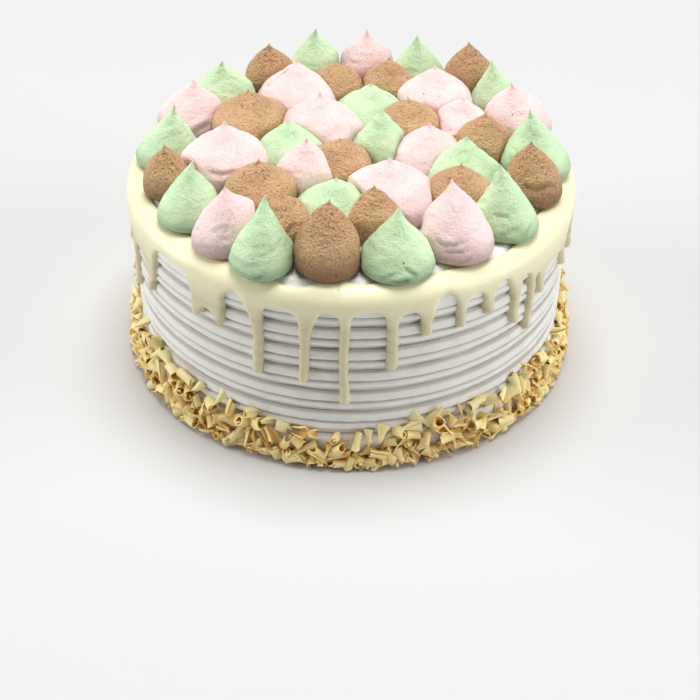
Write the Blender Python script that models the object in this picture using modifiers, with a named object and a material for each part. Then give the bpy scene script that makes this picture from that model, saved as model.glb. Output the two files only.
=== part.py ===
"""A round gelato cake, built as it is decorated.

The uncut cake stands on its flat base. Its whipped frosting is combed into level ridges, white
chocolate curls are pressed round its foot, an ivory ganache is poured round its rim and runs down
in drips, and its top is covered with piped dollops in three flavours, pushed up against each other.

Metres, +Z up, the origin at the centre of the base. Bearings are in degrees, anticlockwise from +X
as seen from above, and the front of the cake is at -90.
"""

import math
import random

import bmesh
import bpy
from mathutils import Matrix, Vector

MM = 0.001
GAP = 0.3 * MM

# The frosted cake
SIDE_RADIUS = 104 * MM
FROSTING_TOP = 93.3 * MM
RIM_RADIUS = 100.5 * MM
RIM_HEIGHT = 92 * MM
SHOULDER_HEIGHT = 86.5 * MM
SIDE_STEPS = 36
SCREW_MERGE = 0.05 * MM

# The band below the comb, smeared smooth round the foot
BAND_TOP = 23.3 * MM
FOOT_RADIUS = 102.5 * MM
FOOT_BULGE = 2 * MM
FOOT_LUMP = 1.6 * MM

# One pull of the comb: how far up each corner stands, and how deep it lies
COMB_PITCH = 11.65 * MM
COMB_PULLS = 5
COMB_TOOTH = (
    (0.0, 1.1),
    (1.0, 0.0),
    (5.0, 0.0),
    (5.5, 1.9),
    (8.6, 1.3),
    (9.0, 0.0),
)
# The comb was held a little unevenly: its lines rise and fall once in a turn of the cake
COMB_WAVE = 0.6 * MM
COMB_WAVE_START = math.radians(80)

# The ganache poured round the rim: its thickest, and the shares of that at other places
GANACHE_RADIUS = 90.3 * MM
GANACHE_THICK = 2.4 * MM
INNER_EDGE = 0.55
OVER_RIM = 0.85
DOWN_SIDE = 0.8
ARCH_EDGE = 0.6
DRIP_EDGE = 0.55
DRIP_TIP = 1.0
DRIP_HALF_WIDTH = 2.6 * MM
# A drip has a funnel at its root, and takes at most this share of the room to the next one
DRIP_ROOT = 3 * MM
ROOT_SHARE = 0.46
ROOT_DROP = 2 * MM
FUNNEL_DROP = 7 * MM
# A wide arch has a column of faces this often, to stay clear of the round side
WIDE_ARCH = 6 * MM
# Bearing of each drip at the front, the height of its tip, and of the arch that follows it, in mm
FRONT_DRIPS = (
    (-160.5, 47, 74),
    (-148.5, 57.5, 89.5),
    (-128.6, 65, 71.5),
    (-121.8, 66, 86.5),
    (-111.3, 45.5, 83.5),
    (-99.8, 45.7, 84.5),
    (-90.2, 34.2, 84.8),
    (-79, 52.6, 83),
    (-71, 69.5, 89.3),
    (-62, 69.2, 85),
    (-54, 71.3, 86),
    (-45, 58.5, 82),
    (-39, 49, 78),
    (-35, 65, 77),
    (-21, 65, 84),
)
# The rest of the rim carries on in the same way
BACK_DRIPS = 20
BACK_TIPS = (62, 50, 70, 44, 66, 57, 73)
BACK_ARCH = 83
BACK_UNEVEN = 3

# The piped dollops: flavour, bearing, then reach from the axis, width, height and lean of the tip
# towards the axis, in mm. Each ring starts at the front and goes round clockwise from above.
OUTER_RING = (
    ("mint", -112.5, 93, 28, 33, 4),
    ("pink", -127, 88, 28, 28, 2),
    ("mint", -144, 87, 28, 28.5, 3),
    ("cocoa", -160, 87.5, 22, 25, 0),
    ("mint", 180, 86, 31, 29, 5),
    ("pink", 158, 85, 33, 26, 3),
    ("mint", 143, 85, 31, 27, 4),
    ("cocoa", 122, 83, 24, 27, 2),
    ("mint", 104, 88, 29, 29, 3),
    ("pink", 86, 88, 31, 28, 3),
    ("mint", 68, 86, 31, 29, 3),
    ("cocoa", 50, 91, 27, 30, 2),
    ("mint", 38, 88, 24, 28, 2),
    ("pink", 23, 87, 35, 27, 5),
    ("mint", -2, 86, 34, 31.5, 5),
    ("cocoa", -18, 87.5, 26.5, 28, 4),
    ("mint", -38, 87, 30, 31, 5),
    ("pink", -56, 84, 32, 31, 7),
    ("mint", -76, 87, 32, 29, 2),
    ("cocoa", -95.5, 86, 29, 32, 2),
)
MIDDLE_RING = (
    ("cocoa", -115, 68, 25, 21, 0),
    ("cocoa", -136, 56, 32, 24, 0),
    ("pink", -168, 59, 38, 28, 0),
    ("cocoa", 156, 54, 38, 26, 0),
    ("pink", 119, 58, 37, 28, 0),
    ("cocoa", 98, 65, 28, 20, 0),
    ("cocoa", 75, 68, 28, 22, 0),
    ("pink", 52, 65, 38, 26, 0),
    ("pink", 28, 60, 29, 21, 0),
    ("cocoa", 6, 62, 29, 25, 0),
    ("mint", -17, 55, 32, 25, 1),
    ("cocoa", -37, 61, 30, 23, 0),
    ("pink", -65, 42, 41, 26, 0),
    ("cocoa", -79.5, 59.5, 25.5, 24, 0),
    ("mint", -97, 48, 35, 21, 0),
)
INNER_RING = (
    ("pink", -132, 30, 28, 26, 0),
    ("mint", 178, 29, 33, 22, 0),
    ("pink", 128, 25, 39, 27, 0),
    ("mint", 79, 42, 35, 21, 0),
    ("cocoa", 42, 36, 34, 22, 0),
    ("mint", 20, 15, 26, 26, 0),
    ("pink", -3, 36, 32, 23, 0),
    ("cocoa", -110, 14, 31, 21, 0),
)
DOLLOP_FLOOR = FROSTING_TOP + GANACHE_THICK * INNER_EDGE + 2 * GAP
DOLLOP_SIDES = 10
DOLLOP_RINGS = (0.0, 0.11, 0.35, 0.6, 0.82)
# A dollop is widest at this share of its height, tucks in below it and draws in to its tip
BELLY = 0.11
FOOT_WIDTH = 0.85
TUCK = 2.2
# The stiffer a cream, the rounder it stands, and mint falls away to its foot almost like a cone
PLUMPNESS = {"mint": 1.35, "pink": 1.75, "cocoa": 2.6}
# A dollop at the rim stands free and has a drawn-out neck
RIM_NECK = 1.2
# One nearer the middle is crowded: its neck is short, and soft cream spreads till it meets more
CROWDED_NECK = 1.0
CROWDED_REACH = 75 * MM
CROWDED_SPREAD = {"mint": 1.18, "pink": 1.12, "cocoa": 1.0}

# The white chocolate curls: how deep each is pressed in, and where their middles lie
CURLS = 80
CURL_SIDES = 6
CURL_SINK = 2.5 * MM
CURL_LOWEST = 0.6 * MM
CURL_BAND = (4 * MM, 24 * MM)
# The golden ratio's fraction: neighbours round the foot lie at unlike heights
SPREAD_UP = 0.618
CURL_SEED = 11

WHITE = ("whipped frosting", (0.80, 0.79, 0.76), 0.55)
IVORY = ("ivory ganache", (0.90, 0.84, 0.60), 0.30)
FLAVOURS = {
    "mint": ("mint gelato", (0.50, 0.78, 0.50), 0.60),
    "pink": ("pink gelato", (0.90, 0.58, 0.58), 0.60),
    "cocoa": ("cocoa gelato", (0.40, 0.22, 0.13), 0.65),
}


def clear_scene():
    for obj in list(bpy.data.objects):
        bpy.data.objects.remove(obj)


def collection(name):
    made = bpy.data.collections.new(name)
    bpy.context.scene.collection.children.link(made)
    return made


def material(name, colour, roughness):
    made = bpy.data.materials.new(name)
    made.use_nodes = True
    shader = made.node_tree.nodes["Principled BSDF"]
    shader.inputs["Base Color"].default_value = (*colour, 1)
    shader.inputs["Roughness"].default_value = roughness
    shader.inputs["Metallic"].default_value = 0
    made.diffuse_color = (*colour, 1)
    return made


def add_object(name, bm, home, finish=None):
    mesh = bpy.data.meshes.new(name)
    bm.to_mesh(mesh)
    bm.free()
    if finish:
        mesh.materials.append(finish)
    obj = bpy.data.objects.new(name, mesh)
    home.objects.link(obj)
    return obj


def apply_modifiers(obj):
    graph = bpy.context.evaluated_depsgraph_get()
    mesh = bpy.data.meshes.new_from_object(obj.evaluated_get(graph))
    obj.modifiers.clear()
    obj.data = mesh


def on_side(bearing, radius, height):
    return Vector((radius * math.cos(bearing), radius * math.sin(bearing), height))


# Frosted cake


def comb_profile():
    """(radius, height) down the combed side, from under the ganache to the smooth band."""
    corners = []
    for pull in range(COMB_PULLS):
        for rise, depth in COMB_TOOTH:
            height = BAND_TOP + pull * COMB_PITCH + rise * MM
            corners.append((SIDE_RADIUS - depth * MM, height))
    return corners[::-1]


def frosted_cake(home, finish):
    profile = [
        (0, DOLLOP_FLOOR - GAP),
        (GANACHE_RADIUS - GAP, DOLLOP_FLOOR - GAP),
        (GANACHE_RADIUS - GAP, FROSTING_TOP),
        (RIM_RADIUS, RIM_HEIGHT),
        (SIDE_RADIUS, SHOULDER_HEIGHT),
        *comb_profile(),
        (SIDE_RADIUS + FOOT_BULGE / 2, BAND_TOP * 0.87),
        (SIDE_RADIUS + FOOT_BULGE, BAND_TOP * 0.6),
        (SIDE_RADIUS + FOOT_BULGE, BAND_TOP * 0.2),
        (FOOT_RADIUS, 0),
        (0, 0),
    ]
    bm = bmesh.new()
    corners = [bm.verts.new((radius, 0, height)) for radius, height in profile]
    for upper, lower in zip(corners, corners[1:]):
        bm.edges.new((upper, lower))
    cake = add_object("frosted_cake", bm, home, finish)
    turn = cake.modifiers.new("turn", "SCREW")
    turn.steps = SIDE_STEPS
    turn.render_steps = SIDE_STEPS
    turn.use_merge_vertices = True
    turn.merge_threshold = SCREW_MERGE
    turn.use_smooth_shade = False
    apply_modifiers(cake)
    comb_top = BAND_TOP + COMB_PULLS * COMB_PITCH
    for corner in cake.data.vertices:
        x, y, height = corner.co
        bearing = math.atan2(y, x)
        if BAND_TOP <= height < comb_top:
            corner.co.z += COMB_WAVE * math.sin(bearing + COMB_WAVE_START)
        elif 0 < height < BAND_TOP:
            lump = math.sin(7 * bearing + 400 * height) + math.sin(12 * bearing - 250 * height)
            corner.co += on_side(bearing, FOOT_LUMP * lump / 2, 0)
    return cake


def curl(home, draw, number):
    """A shaving rolled into a cone or a short tube, its inner side sunk in the frosting."""
    length = draw.uniform(8, 12) * MM
    thick = draw.uniform(2.4, 3.8) * MM
    taper = draw.choice((0.4, 0.65, 1.0))
    bearing = 2 * math.pi * (number + draw.uniform(-0.3, 0.3)) / CURLS
    height = CURL_BAND[0] + (CURL_BAND[1] - CURL_BAND[0]) * (number * SPREAD_UP % 1)
    bm = bmesh.new()
    bmesh.ops.create_cone(
        bm,
        cap_ends=True,
        segments=CURL_SIDES,
        radius1=thick,
        radius2=thick * taper,
        depth=length,
    )
    spin = Matrix.Rotation(math.radians(draw.uniform(0, 60)), 4, "Z")
    outward = Matrix.Rotation(math.radians(draw.uniform(15, 75)), 4, "Y")
    roll = Matrix.Rotation(math.radians(draw.uniform(0, 360)), 4, "X")
    bm.transform(roll @ outward @ spin)
    inner = min(corner.co.x for corner in bm.verts)
    lowest = min(corner.co.z for corner in bm.verts)
    reach = SIDE_RADIUS - CURL_SINK - inner
    bmesh.ops.translate(bm, verts=bm.verts, vec=(reach, 0, max(height, CURL_LOWEST - lowest)))
    bm.transform(Matrix.Rotation(bearing, 4, "Z"))
    return add_object(f"curl_{number:03}", bm, home)


def press_on_curls(cake, home):
    draw = random.Random(CURL_SEED)
    for number in range(CURLS):
        curl(home, draw, number)
    fuse = cake.modifiers.new("fuse", "BOOLEAN")
    fuse.operation = "UNION"
    fuse.operand_type = "COLLECTION"
    fuse.collection = home
    fuse.solver = "MANIFOLD"
    apply_modifiers(cake)
    for piece in list(home.objects):
        bpy.data.objects.remove(piece)


# Ganache


def drip_plan():
    """(bearing, tip height, height of the arch that follows) of every drip, all the way round."""
    drips = [(math.radians(b), tip * MM, arch * MM) for b, tip, arch in FRONT_DRIPS]
    start = FRONT_DRIPS[-1][0]
    span = 360 + FRONT_DRIPS[0][0] - start
    for number in range(BACK_DRIPS):
        share = (number + 1 + 0.18 * math.sin(2.3 * number)) / (BACK_DRIPS + 1)
        tip = BACK_TIPS[number % len(BACK_TIPS)] + BACK_UNEVEN * math.sin(1.7 * number)
        arch = BACK_ARCH + BACK_UNEVEN * math.sin(2.9 * number)
        drips.append((math.radians(start + span * share), tip * MM, arch * MM))
    return drips


def ganache_outline():
    """(bearing, lowest height, thickness) of each column, in order round the rim."""
    drips = drip_plan()
    columns = []
    for number, (bearing, tip, arch_after) in enumerate(drips):
        before, _, arch_before = drips[number - 1]
        after = drips[(number + 1) % len(drips)][0]
        room_before = (bearing - before) % (2 * math.pi) * SIDE_RADIUS
        room_after = (after - bearing) % (2 * math.pi) * SIDE_RADIUS
        round_tip = tip + 0.8 * DRIP_HALF_WIDTH
        edge = DRIP_HALF_WIDTH * 1.05
        root_before = min(DRIP_HALF_WIDTH + DRIP_ROOT, ROOT_SHARE * room_before)
        root_after = min(DRIP_HALF_WIDTH + DRIP_ROOT, ROOT_SHARE * room_after)
        outline = [
            (-root_before, arch_before - ROOT_DROP, ARCH_EDGE),
            (-edge, max(arch_before - FUNNEL_DROP, round_tip), ARCH_EDGE),
            (-DRIP_HALF_WIDTH, round_tip, DRIP_EDGE),
            (0, tip, DRIP_TIP),
            (DRIP_HALF_WIDTH, round_tip, DRIP_EDGE),
            (edge, max(arch_after - FUNNEL_DROP, round_tip), ARCH_EDGE),
            (root_after, arch_after - ROOT_DROP, ARCH_EDGE),
        ]
        arch_width = room_after - 2 * root_after
        crowns = int(arch_width / WIDE_ARCH)
        for crown in range(crowns):
            offset = root_after + arch_width * (crown + 1) / (crowns + 1)
            outline.append((offset, arch_after, ARCH_EDGE))
        for offset, height, thick in outline:
            columns.append((bearing + offset / SIDE_RADIUS, height, thick))
    return columns


def ganache_drip(home, finish):
    columns = ganache_outline()
    bm = bmesh.new()
    weights = []
    rows = []
    for bearing, lowest, thick in columns:
        column = (
            (GANACHE_RADIUS, FROSTING_TOP + GAP, INNER_EDGE),
            (RIM_RADIUS + 0.7 * GAP, RIM_HEIGHT + GAP, OVER_RIM),
            (SIDE_RADIUS + GAP, SHOULDER_HEIGHT, DOWN_SIDE),
            (SIDE_RADIUS + GAP, lowest, thick),
        )
        rows.append([bm.verts.new(on_side(bearing, r, z)) for r, z, _ in column])
        weights.extend(weight for _, _, weight in column)
    for left, right in zip(rows, rows[1:] + rows[:1]):
        for upper in range(len(left) - 1):
            bm.faces.new((left[upper], left[upper + 1], right[upper + 1], right[upper]))
    ganache = add_object("ganache_drip", bm, home, finish)
    group = ganache.vertex_groups.new(name="thickness")
    for number, weight in enumerate(weights):
        group.add([number], weight, "REPLACE")
    shell = ganache.modifiers.new("shell", "SOLIDIFY")
    shell.thickness = GANACHE_THICK
    shell.offset = 1
    shell.vertex_group = "thickness"
    return ganache


# Dollops


def dollop_radius(share, plumpness, neck):
    """The half-width of a dollop at a share of its height, as a share of its widest."""
    if share < BELLY:
        return 1 - (1 - FOOT_WIDTH) * ((BELLY - share) / BELLY) ** TUCK
    climb = (share - BELLY) / (1 - BELLY)
    return (1 - climb**plumpness) ** neck


def dollop_plan():
    plan = []
    for flavour, bearing, reach, width, height, lean in OUTER_RING + MIDDLE_RING + INNER_RING:
        outward = Vector((math.cos(math.radians(bearing)), math.sin(math.radians(bearing))))
        crowded = reach * MM < CROWDED_REACH
        spread = CROWDED_SPREAD[flavour] if crowded else 1
        plan.append(
            {
                "flavour": flavour,
                "centre": outward * reach * MM,
                "lean": -outward * lean * MM,
                "radius": width / 2 * MM,
                "height": height * MM,
                "spread_radius": width / 2 * MM * spread,
                "neck": CROWDED_NECK if crowded else RIM_NECK,
            }
        )
    return plan


def contact_walls(dollop, plan):
    """The upright planes on which a dollop meets its neighbours, as (direction, distance)."""
    walls = []
    for other in plan:
        across = other["centre"] - dollop["centre"]
        apart = across.length
        if other is dollop or apart >= dollop["spread_radius"] + other["spread_radius"]:
            continue
        distance = (apart**2 + dollop["radius"] ** 2 - other["radius"] ** 2) / (2 * apart)
        walls.append((across / apart, distance - GAP / 2))
    return walls


def pipe_dollop(name, dollop, walls, turn, home, finish):
    bm = bmesh.new()
    rings = []
    for share in DOLLOP_RINGS:
        drift = dollop["lean"] * share**2
        width = dollop_radius(share, PLUMPNESS[dollop["flavour"]], dollop["neck"])
        ring = []
        for side in range(DOLLOP_SIDES):
            angle = 2 * math.pi * (side + turn) / DOLLOP_SIDES
            way = Vector((math.cos(angle), math.sin(angle)))
            reach = dollop["spread_radius"] * width
            for direction, distance in walls:
                facing = way.dot(direction)
                if facing > 0:
                    reach = min(reach, (distance - drift.dot(direction)) / facing)
            spot = dollop["centre"] + drift + way * reach
            ring.append(bm.verts.new((*spot, DOLLOP_FLOOR + share * dollop["height"])))
        rings.append(ring)
    tip = dollop["centre"] + dollop["lean"]
    top = bm.verts.new((*tip, DOLLOP_FLOOR + dollop["height"]))
    bm.faces.new(rings[0][::-1])
    for lower, upper in zip(rings, rings[1:]):
        for side in range(DOLLOP_SIDES):
            after = (side + 1) % DOLLOP_SIDES
            bm.faces.new((lower[side], lower[after], upper[after], upper[side]))
    for side in range(DOLLOP_SIDES):
        bm.faces.new((rings[-1][side], rings[-1][(side + 1) % DOLLOP_SIDES], top))
    return add_object(name, bm, home, finish)


def dollops(home):
    finishes = {flavour: material(*look) for flavour, look in FLAVOURS.items()}
    piped = dict.fromkeys(FLAVOURS, 0)
    plan = dollop_plan()
    for number, dollop in enumerate(plan):
        flavour = dollop["flavour"]
        piped[flavour] += 1
        name = f"dollop_{flavour}_{piped[flavour]:02}"
        walls = contact_walls(dollop, plan)
        pipe_dollop(name, dollop, walls, number * 0.37, home, finishes[flavour])


def main():
    clear_scene()
    home = collection("gelato_cake")
    curls = collection("curls")
    cake = frosted_cake(home, material(*WHITE))
    press_on_curls(cake, curls)
    ganache_drip(home, material(*IVORY))
    dollops(home)


main()
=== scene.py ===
# %% [markdown]
# # A gelato cake
#
# The cake is a white frosted drum. Its side is combed into level ridges, ivory ganache is poured
# round its rim and runs down in drips, white chocolate curls are pressed round its foot, and its
# top is crowded with piped dollops in three flavours. It stands alone on a plain pale table.
#
# A solid model of the same cake already exists. Each piece here is worked out from that model, so
# that a finely shaped piece lies exactly where its plain solid lies.

# %% Load the solid model
import math
import random
from functools import partialmethod

import bpy
import numpy as np
from mathutils import Matrix, Vector
from mathutils.kdtree import KDTree


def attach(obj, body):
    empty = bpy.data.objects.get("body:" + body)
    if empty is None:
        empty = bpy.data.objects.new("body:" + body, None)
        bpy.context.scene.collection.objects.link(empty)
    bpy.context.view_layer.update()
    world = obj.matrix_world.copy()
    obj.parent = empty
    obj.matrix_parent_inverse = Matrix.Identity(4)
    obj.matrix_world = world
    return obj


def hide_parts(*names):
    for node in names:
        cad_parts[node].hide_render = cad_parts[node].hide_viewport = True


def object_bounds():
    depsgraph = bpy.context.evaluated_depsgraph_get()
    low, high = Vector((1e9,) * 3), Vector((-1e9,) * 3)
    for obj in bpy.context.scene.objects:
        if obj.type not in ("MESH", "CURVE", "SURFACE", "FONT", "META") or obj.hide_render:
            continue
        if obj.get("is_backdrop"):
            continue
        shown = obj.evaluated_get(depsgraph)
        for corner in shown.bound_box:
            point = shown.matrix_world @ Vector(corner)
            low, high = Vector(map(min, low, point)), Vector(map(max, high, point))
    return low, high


MM = 0.001

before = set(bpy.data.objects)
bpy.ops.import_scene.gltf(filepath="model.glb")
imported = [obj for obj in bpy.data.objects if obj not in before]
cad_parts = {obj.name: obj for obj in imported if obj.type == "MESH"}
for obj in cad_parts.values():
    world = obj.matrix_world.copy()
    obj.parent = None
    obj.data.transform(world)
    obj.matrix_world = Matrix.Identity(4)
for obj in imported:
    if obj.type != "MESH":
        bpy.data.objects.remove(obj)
solid_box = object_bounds()
print("solids:", len(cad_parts), "box:", [[round(v, 4) for v in c] for c in solid_box])

# %% [markdown]
# The solids are faceted, and their corners hold every size that is needed. With a solid's corners
# as rows of numbers, numpy measures them all at once, which is quicker to write and to run than a
# loop over single vertices.


# %% Measure the cake
def corners_of(node):
    """The corners of a solid, as rows of x, y and z in metres."""
    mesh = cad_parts[node].data
    numbers = np.empty(len(mesh.vertices) * 3, np.float32)
    mesh.vertices.foreach_get("co", numbers)
    return numbers.reshape(-1, 3).astype(float)


cake_corners = corners_of("frosted_cake")
cake_radii = np.hypot(cake_corners[:, 0], cake_corners[:, 1])
cake_heights = cake_corners[:, 2]
halfway_up = (cake_heights > 0.55 * cake_heights.max()) & (cake_heights < 0.85 * cake_heights.max())
SIDE_RADIUS = cake_radii[halfway_up].max()

ganache_corners = corners_of("ganache_drip")
ganache_radii = np.hypot(ganache_corners[:, 0], ganache_corners[:, 1])
inner_corners = ganache_radii < ganache_radii.min() + 0.1 * MM
GAP = 0.3 * MM
FROSTING_TOP = ganache_corners[inner_corners, 2].min() - GAP
print(f"side radius {SIDE_RADIUS / MM:.1f} mm, frosting top {FROSTING_TOP / MM:.1f} mm")

# %% [markdown]
# Food is never quite even, so most shapes below are pushed about by noise. Blender's own noise
# works on one point at a time. This one works on whole arrays: a block of seeded random numbers is
# read at each point, and the eight numbers round the point are blended smoothly.


# %% Noise for arrays of points
BLOCK = 32


def noise(points, size, seed):
    """Smooth noise from about -1 to 1, in lumps of about the given size."""
    block = np.random.default_rng(seed).uniform(-1, 1, (BLOCK, BLOCK, BLOCK))
    place = np.asarray(points) / size + 100.5
    cell = np.floor(place).astype(int)
    within = place - cell
    within = within**3 * (within * (within * 6 - 15) + 10)
    total = np.zeros(place.shape[:-1])
    for step in np.ndindex(2, 2, 2):
        share = np.prod(np.where(step, within, 1 - within), axis=-1)
        i, j, k = np.moveaxis((cell + step) % BLOCK, -1, 0)
        total += share * block[i, j, k]
    return total


def rough_noise(points, size, seed, layers=3):
    """Noise in several layers, each half as large and half as strong as the one before."""
    return sum(noise(points, size / 2**n, seed + n) / 2**n for n in range(layers))


# %% [markdown]
# Three small curves turn up everywhere: a smooth step from 0 to 1, a bell that is 1 in the middle
# and fades on both sides, and how far one bearing has turned from another.


# %% Small curves
def smoothstep(low, high, value):
    share = np.clip((value - low) / (high - low), 0, 1)
    return share * share * (3 - 2 * share)


def bell(offset):
    return np.exp(-(offset**2))


def turned_from(bearing, degrees):
    """How far a bearing in radians lies from one in degrees, from minus to plus half a turn."""
    return (bearing - math.radians(degrees) + math.pi) % (2 * math.pi) - math.pi


# %% [markdown]
# Every piece is a mesh worked out as a grid of points, because frosting, ganache, dollops and
# curls are all surfaces that were dragged, poured or squeezed along a path. A few helpers turn
# grids into smooth meshes. Numbers that a finish needs later, such as how deep a point lies in a
# groove, are stored on the mesh under a name.


# %% Grids into meshes
def grid_faces(rows, columns, closed=True):
    """Faces between rows of points. They face out if the rows rise and run anticlockwise."""
    row, column = np.meshgrid(np.arange(rows - 1), np.arange(columns - (not closed)), indexing="ij")
    after = (column + 1) % columns
    lower, upper = row * columns, (row + 1) * columns
    corners = [lower + column, lower + after, upper + after, upper + column]
    return np.stack(corners, -1).reshape(-1, 4)


def ring_cap(start, columns, centre, upward):
    """Triangles from a ring of points to one point in the middle of it."""
    ring = start + np.arange(columns)
    after = start + (np.arange(columns) + 1) % columns
    hub = np.full(columns, centre)
    return np.stack([ring, after, hub] if upward else [after, ring, hub], -1)


def turned_solid(points, foot, tip):
    """Points and faces of the closed solid of rings of points and one point at each end."""
    rings, columns = points.shape[:2]
    count = rings * columns
    faces = [
        *grid_faces(rings, columns),
        *ring_cap(0, columns, count, upward=False),
        *ring_cap(count - columns, columns, count + 1, upward=True),
    ]
    return np.vstack([points.reshape(-1, 3), foot, tip]), faces


def add_object(name, data):
    obj = bpy.data.objects.new(name, data)
    bpy.context.scene.collection.objects.link(obj)
    return obj


def piece(name, points, faces, look, node, marks):
    """A smooth mesh that stands for a solid of the frame. Marks are named numbers, one a point."""
    mesh = bpy.data.meshes.new(name)
    mesh.from_pydata(points.tolist(), [], [[int(corner) for corner in face] for face in faces])
    for mark, values in marks.items():
        layer = mesh.attributes.new(mark, "FLOAT", "POINT")
        layer.data.foreach_set("value", np.asarray(values, np.float32).ravel())
    mesh.shade_smooth()
    mesh.materials.append(look)
    obj = add_object(name, mesh)
    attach(obj, "root")
    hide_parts(node)
    return obj


# %% [markdown]
# ## The table, the light and the viewer
#
# The cake is seen from a little above, the way it stands on a counter. The studio is plain: a pale
# table, white surroundings that light everything softly, and three large soft lamps. The camera's
# turn is built up from three small rotations, first its roll, then its tilt, then its heading.

# %% Camera
EYE = Vector((7.9, -541.6, 416.1)) * MM
TILT_DOWN = math.radians(38.75)
HEADING = math.radians(0.77)
ROLL = math.radians(0.80)

camera_data = bpy.data.cameras.new("viewer")
camera_data.lens = 67.87
camera_data.sensor_width = 36
camera = add_object("viewer", camera_data)
roll = Matrix.Rotation(ROLL, 4, "Z")
tilt = Matrix.Rotation(math.pi / 2 - TILT_DOWN, 4, "X")
heading = Matrix.Rotation(HEADING, 4, "Z")
camera.matrix_world = Matrix.Translation(EYE) @ heading @ tilt @ roll
bpy.context.scene.camera = camera
bpy.context.scene.view_settings.view_transform = "Standard"


# %% Lamps
CAKE_MIDDLE = Vector((0, 0, 0.07))
LAMP_WIDTH = 1.8


def soft_lamp(name, place, watts):
    """A square lamp at a place, turned towards the middle of the cake."""
    data = bpy.data.lights.new(name, "AREA")
    data.size = LAMP_WIDTH
    data.energy = watts
    lamp = add_object(name, data)
    lamp.location = place
    lamp.rotation_euler = (CAKE_MIDDLE - Vector(place)).to_track_quat("-Z", "Y").to_euler()


soft_lamp("overhead_lamp", (0.1, 0.4, 3.0), 98)
soft_lamp("left_lamp", (-2.6, 0.0, 1.1), 46)
soft_lamp("right_lamp", (2.5, -0.5, 1.1), 40)

surroundings = bpy.data.worlds.new("white_room")
surroundings.use_nodes = True
background = surroundings.node_tree.nodes["Background"]
background.inputs["Color"].default_value = (1, 1, 1, 1)
background.inputs["Strength"].default_value = 0.14
bpy.context.scene.world = surroundings

# %% [markdown]
# ## Finishes
#
# A finish is a net of small shader nodes. Placed by hand, one node and one link at a time, such a
# net is long and hard to read. Here a socket is wrapped in a class that knows + - * and /, so a sum
# of noises is written as a sum. Operators add Math nodes, and any other node comes from one method.
# Colours are mixed by a Mix node, because a Math node would turn them grey.


# %% Sockets that can be added and multiplied
class Flow:
    """The value that leaves a socket of a finish's nodes."""

    def __init__(self, finish, socket):
        self.finish = finish
        self.socket = socket

    def maths(self, operation, other):
        return self.finish.node("Math", {"operation": operation}, {0: self, 1: other})

    __add__ = __radd__ = partialmethod(maths, "ADD")
    __sub__ = partialmethod(maths, "SUBTRACT")
    __mul__ = __rmul__ = partialmethod(maths, "MULTIPLY")
    __truediv__ = partialmethod(maths, "DIVIDE")

    def between(self, low, high):
        """0 up to low, 1 from high on, and a smooth rise between. Low may be the larger one."""
        settings = {"interpolation_type": "SMOOTHSTEP"}
        return self.finish.node("MapRange", settings, {0: self, 1: low, 2: high})


class Finish:
    """A material whose nodes are added by expressions. Plain numbers are set on its shader."""

    def __init__(self, name, **constants):
        self.material = bpy.data.materials.new(name)
        self.material.use_nodes = True
        self.tree = self.material.node_tree
        self.shader = self.tree.nodes["Principled BSDF"]
        self.place = self.node("TexCoord", output="Object")
        for socket, value in constants.items():
            self.shader.inputs[socket.replace("_", " ")].default_value = value

    def node(self, kind, settings=None, values=None, output=0):
        """Adds a node, gives it its settings, then its socket values or links."""
        made = self.tree.nodes.new("ShaderNode" + kind)
        for setting, value in (settings or {}).items():
            setattr(made, setting, value)
        for socket, value in (values or {}).items():
            if isinstance(value, Flow):
                self.tree.links.new(value.socket, made.inputs[socket])
            else:
                made.inputs[socket].default_value = value
        return Flow(self, made.outputs[output])

    def grain(self, size, detail=2.0, distortion=0.0, place=None):
        """Noise from 0 to 1 whose lumps are about this large, in metres."""
        values = {
            "Vector": place or self.place,
            "Scale": 1 / size,
            "Detail": detail,
            "Distortion": distortion,
        }
        return self.node("TexNoise", None, values)

    def pits(self, spacing, radius):
        """Round pits of unlike widths, 1 in a pit and 0 outside. One cell in three has one."""
        values = {"Vector": self.place, "Scale": 1 / spacing}
        distance = self.node("TexVoronoi", None, values, "Distance")
        tint = self.node("TexVoronoi", None, values, "Color")
        chance = self.node("SeparateColor", None, {"Color": tint}, "Red")
        size = self.node("SeparateColor", None, {"Color": tint}, "Green")
        from_rim = distance * (spacing / radius) / (0.45 + size * 0.9)
        return from_rim.between(1.0, 0.55) * chance.between(0.66, 0.67)

    def mark(self, name):
        """A number that was stored on the mesh, point by point."""
        return self.node("Attribute", {"attribute_name": name}, None, "Fac")

    def mix(self, share, first, second):
        """From the first colour to the second, as the share goes from 0 to 1."""
        first, second = (c if isinstance(c, Flow) else (*c, 1) for c in (first, second))
        return self.node("Mix", {"data_type": "RGBA"}, {0: share, 6: first, 7: second}, 2)

    def bump(self, height, depth):
        """A surface that height raises by up to depth metres."""
        return self.node("Bump", None, {"Height": height, "Distance": depth, "Strength": 1.0})

    def feed(self, colour, roughness, surface):
        """Links what varies over the surface to the shader, and gives the material."""
        flows = {"Base Color": colour, "Roughness": roughness, "Normal": surface}
        for socket, flow in flows.items():
            self.tree.links.new(flow.socket, self.shader.inputs[socket])
        return self.material


# %% [markdown]
# ## The whipped frosting
#
# A decorator covers the cake in whipped frosting, turns it on a wheel and holds a toothed comb to
# its side. Each tooth leaves the same mark all the way round: a deep crease under a sloping recess,
# a narrow ridge, a thin groove and a wide ridge. The shape is a turned one, so it could be a
# profile with a Screw modifier. Here it is a grid of points instead, because the comb wavered and
# the ridges are a little ragged, which needs each point to be moved on its own.

# %% The marks of the comb
COMB_START = 23.3 * MM
COMB_PITCH = 11.65 * MM
COMB_END = COMB_START + 5 * COMB_PITCH
# The foot band was smoothed over the lowest marks, up to here
COMB_FOOT = COMB_START - 6.8 * MM
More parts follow.
